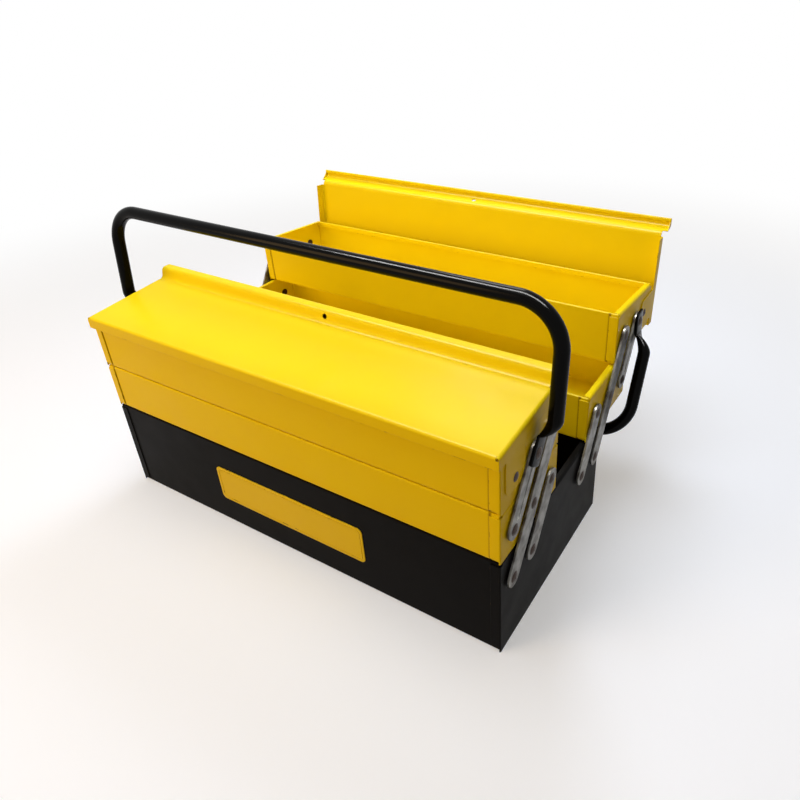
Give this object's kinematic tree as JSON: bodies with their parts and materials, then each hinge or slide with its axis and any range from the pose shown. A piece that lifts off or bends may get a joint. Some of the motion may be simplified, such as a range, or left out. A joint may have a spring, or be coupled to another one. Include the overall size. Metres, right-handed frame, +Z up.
{
  "type": "tool_box",
  "caption": "Cantilever tool box in pressed steel: black base, yellow trays and lids that swing out on grey link arms, black tube handles.",
  "frame": {"origin": "centre of the base's underside", "axes": "+X along the box to its right-hand end, -Y the front where the closed trays and the name plate are, +Z up"},
  "size_m": [0.4942, 0.3697, 0.2968],
  "materials": {
    "yellow_enamel": "gloss stoved enamel on pressed steel sheet",
    "plate_yellow": "plain enamelled plate",
    "black_enamel": "satin stoved enamel on pressed steel sheet",
    "black_gloss": "gloss enamel on steel tube",
    "zinc_steel": "zinc plated steel strip, slightly brushed",
    "rivet_steel": "oiled steel rivet, brownish"
  },
  "bodies": {
    "base": {"base_trough": "black_enamel", "base_end_left": "black_enamel", "base_end_right": "black_enamel", "base_rivets": "rivet_steel", "name_plate": "plate_yellow"},
    "front_long_arms": {"front_long_arm_left": "zinc_steel", "front_long_arm_right": "zinc_steel"},
    "front_middle_tray": {"front_middle_trough": "yellow_enamel", "front_middle_end_left": "yellow_enamel", "front_middle_end_right": "yellow_enamel", "front_middle_rivets": "rivet_steel"},
    "front_top_tray": {"front_top_trough": "yellow_enamel", "front_top_end_left": "yellow_enamel", "front_top_end_right": "yellow_enamel", "front_top_rivets": "rivet_steel", "front_hinge_rivets": "rivet_steel"},
    "front_lower_arms": {"front_lower_arm_left": "zinc_steel", "front_lower_arm_right": "zinc_steel"},
    "front_upper_arms": {"front_upper_arm_left": "zinc_steel", "front_upper_arm_right": "zinc_steel"},
    "front_lid": {"front_lid": "yellow_enamel"},
    "front_handle": {"front_handle": "black_gloss"},
    "rear_long_arms": {"rear_long_arm_left": "zinc_steel", "rear_long_arm_right": "zinc_steel"},
    "rear_middle_tray": {"rear_middle_trough": "yellow_enamel", "rear_middle_end_left": "yellow_enamel", "rear_middle_end_right": "yellow_enamel", "rear_middle_rivets": "rivet_steel"},
    "rear_top_tray": {"rear_top_trough": "yellow_enamel", "rear_top_end_left": "yellow_enamel", "rear_top_end_right": "yellow_enamel", "rear_top_rivets": "rivet_steel", "rear_hinge_rivets": "rivet_steel"},
    "rear_lower_arms": {"rear_lower_arm_left": "zinc_steel", "rear_lower_arm_right": "zinc_steel"},
    "rear_upper_arms": {"rear_upper_arm_left": "zinc_steel", "rear_upper_arm_right": "zinc_steel"},
    "rear_lid": {"rear_lid": "yellow_enamel"},
    "rear_handle": {"rear_handle": "black_gloss"}
  },
  "joints": [
    {"name": "front_long_arm_swing", "type": "hinge", "parent": "base", "child": "front_long_arms", "pos_m": [0, -0.085, 0.074], "axis": [1, 0, 0], "range_deg": [0, 64.8]},
    {"name": "front_lower_arm_swing", "type": "hinge", "parent": "base", "child": "front_lower_arms", "pos_m": [0, -0.052, 0.074], "axis": [1, 0, 0], "range_deg": [0, 64.8]},
    {"name": "front_middle_tray_level", "type": "hinge", "parent": "front_long_arms", "child": "front_middle_tray", "pos_m": [0, -0.052, 0.124], "axis": [1, 0, 0], "range_deg": [-64.8, 0]},
    {"name": "front_top_tray_level", "type": "hinge", "parent": "front_long_arms", "child": "front_top_tray", "pos_m": [0, -0.019, 0.174], "axis": [1, 0, 0], "range_deg": [-64.8, 0]},
    {"name": "front_upper_arm_swing", "type": "hinge", "parent": "front_middle_tray", "child": "front_upper_arms", "pos_m": [0, -0.085, 0.124], "axis": [1, 0, 0], "range_deg": [0, 64.8]},
    {"name": "front_lid_hinge", "type": "hinge", "parent": "front_top_tray", "child": "front_lid", "pos_m": [0, -0.08, 0.17], "axis": [1, 0, 0], "range_deg": [0, 90]},
    {"name": "front_handle_swing", "type": "hinge", "parent": "front_upper_arms", "child": "front_handle", "pos_m": [0, -0.052, 0.174], "axis": [1, 0, 0], "range_deg": [-15, 155]},
    {"name": "rear_long_arm_swing", "type": "hinge", "parent": "base", "child": "rear_long_arms", "pos_m": [0, 0.085, 0.074], "axis": [1, 0, 0], "range_deg": [0, 64.8]},
    {"name": "rear_lower_arm_swing", "type": "hinge", "parent": "base", "child": "rear_lower_arms", "pos_m": [0, 0.052, 0.074], "axis": [1, 0, 0], "range_deg": [0, 64.8]},
    {"name": "rear_middle_tray_level", "type": "hinge", "parent": "rear_long_arms", "child": "rear_middle_tray", "pos_m": [0, 0.11619, 0.12515], "axis": [1, 0, 0], "range_deg": [-64.8, 0]},
    {"name": "rear_top_tray_level", "type": "hinge", "parent": "rear_long_arms", "child": "rear_top_tray", "pos_m": [0, 0.14738, 0.1763], "axis": [1, 0, 0], "range_deg": [-64.8, 0]},
    {"name": "rear_upper_arm_swing", "type": "hinge", "parent": "rear_middle_tray", "child": "rear_upper_arms", "pos_m": [0, 0.14919, 0.12515], "axis": [1, 0, 0], "range_deg": [0, 64.8]},
    {"name": "rear_lid_hinge", "type": "hinge", "parent": "rear_top_tray", "child": "rear_lid", "pos_m": [0, 0.20838, 0.1723], "axis": [1, 0, 0], "range_deg": [0, 90]},
    {"name": "rear_handle_swing", "type": "hinge", "parent": "rear_upper_arms", "child": "rear_handle", "pos_m": [0, 0.18038, 0.1763], "axis": [1, 0, 0], "range_deg": [-9.5, 160.5]}
  ],
  "couplings": [
    {"joint": "front_lower_arm_swing", "follows": "front_long_arm_swing", "ratio": 1},
    {"joint": "front_middle_tray_level", "follows": "front_long_arm_swing", "ratio": -1},
    {"joint": "front_top_tray_level", "follows": "front_long_arm_swing", "ratio": -1},
    {"joint": "front_upper_arm_swing", "follows": "front_long_arm_swing", "ratio": 1},
    {"joint": "rear_lower_arm_swing", "follows": "rear_long_arm_swing", "ratio": 1},
    {"joint": "rear_middle_tray_level", "follows": "rear_long_arm_swing", "ratio": -1},
    {"joint": "rear_top_tray_level", "follows": "rear_long_arm_swing", "ratio": -1},
    {"joint": "rear_upper_arm_swing", "follows": "rear_long_arm_swing", "ratio": 1}
  ]
}
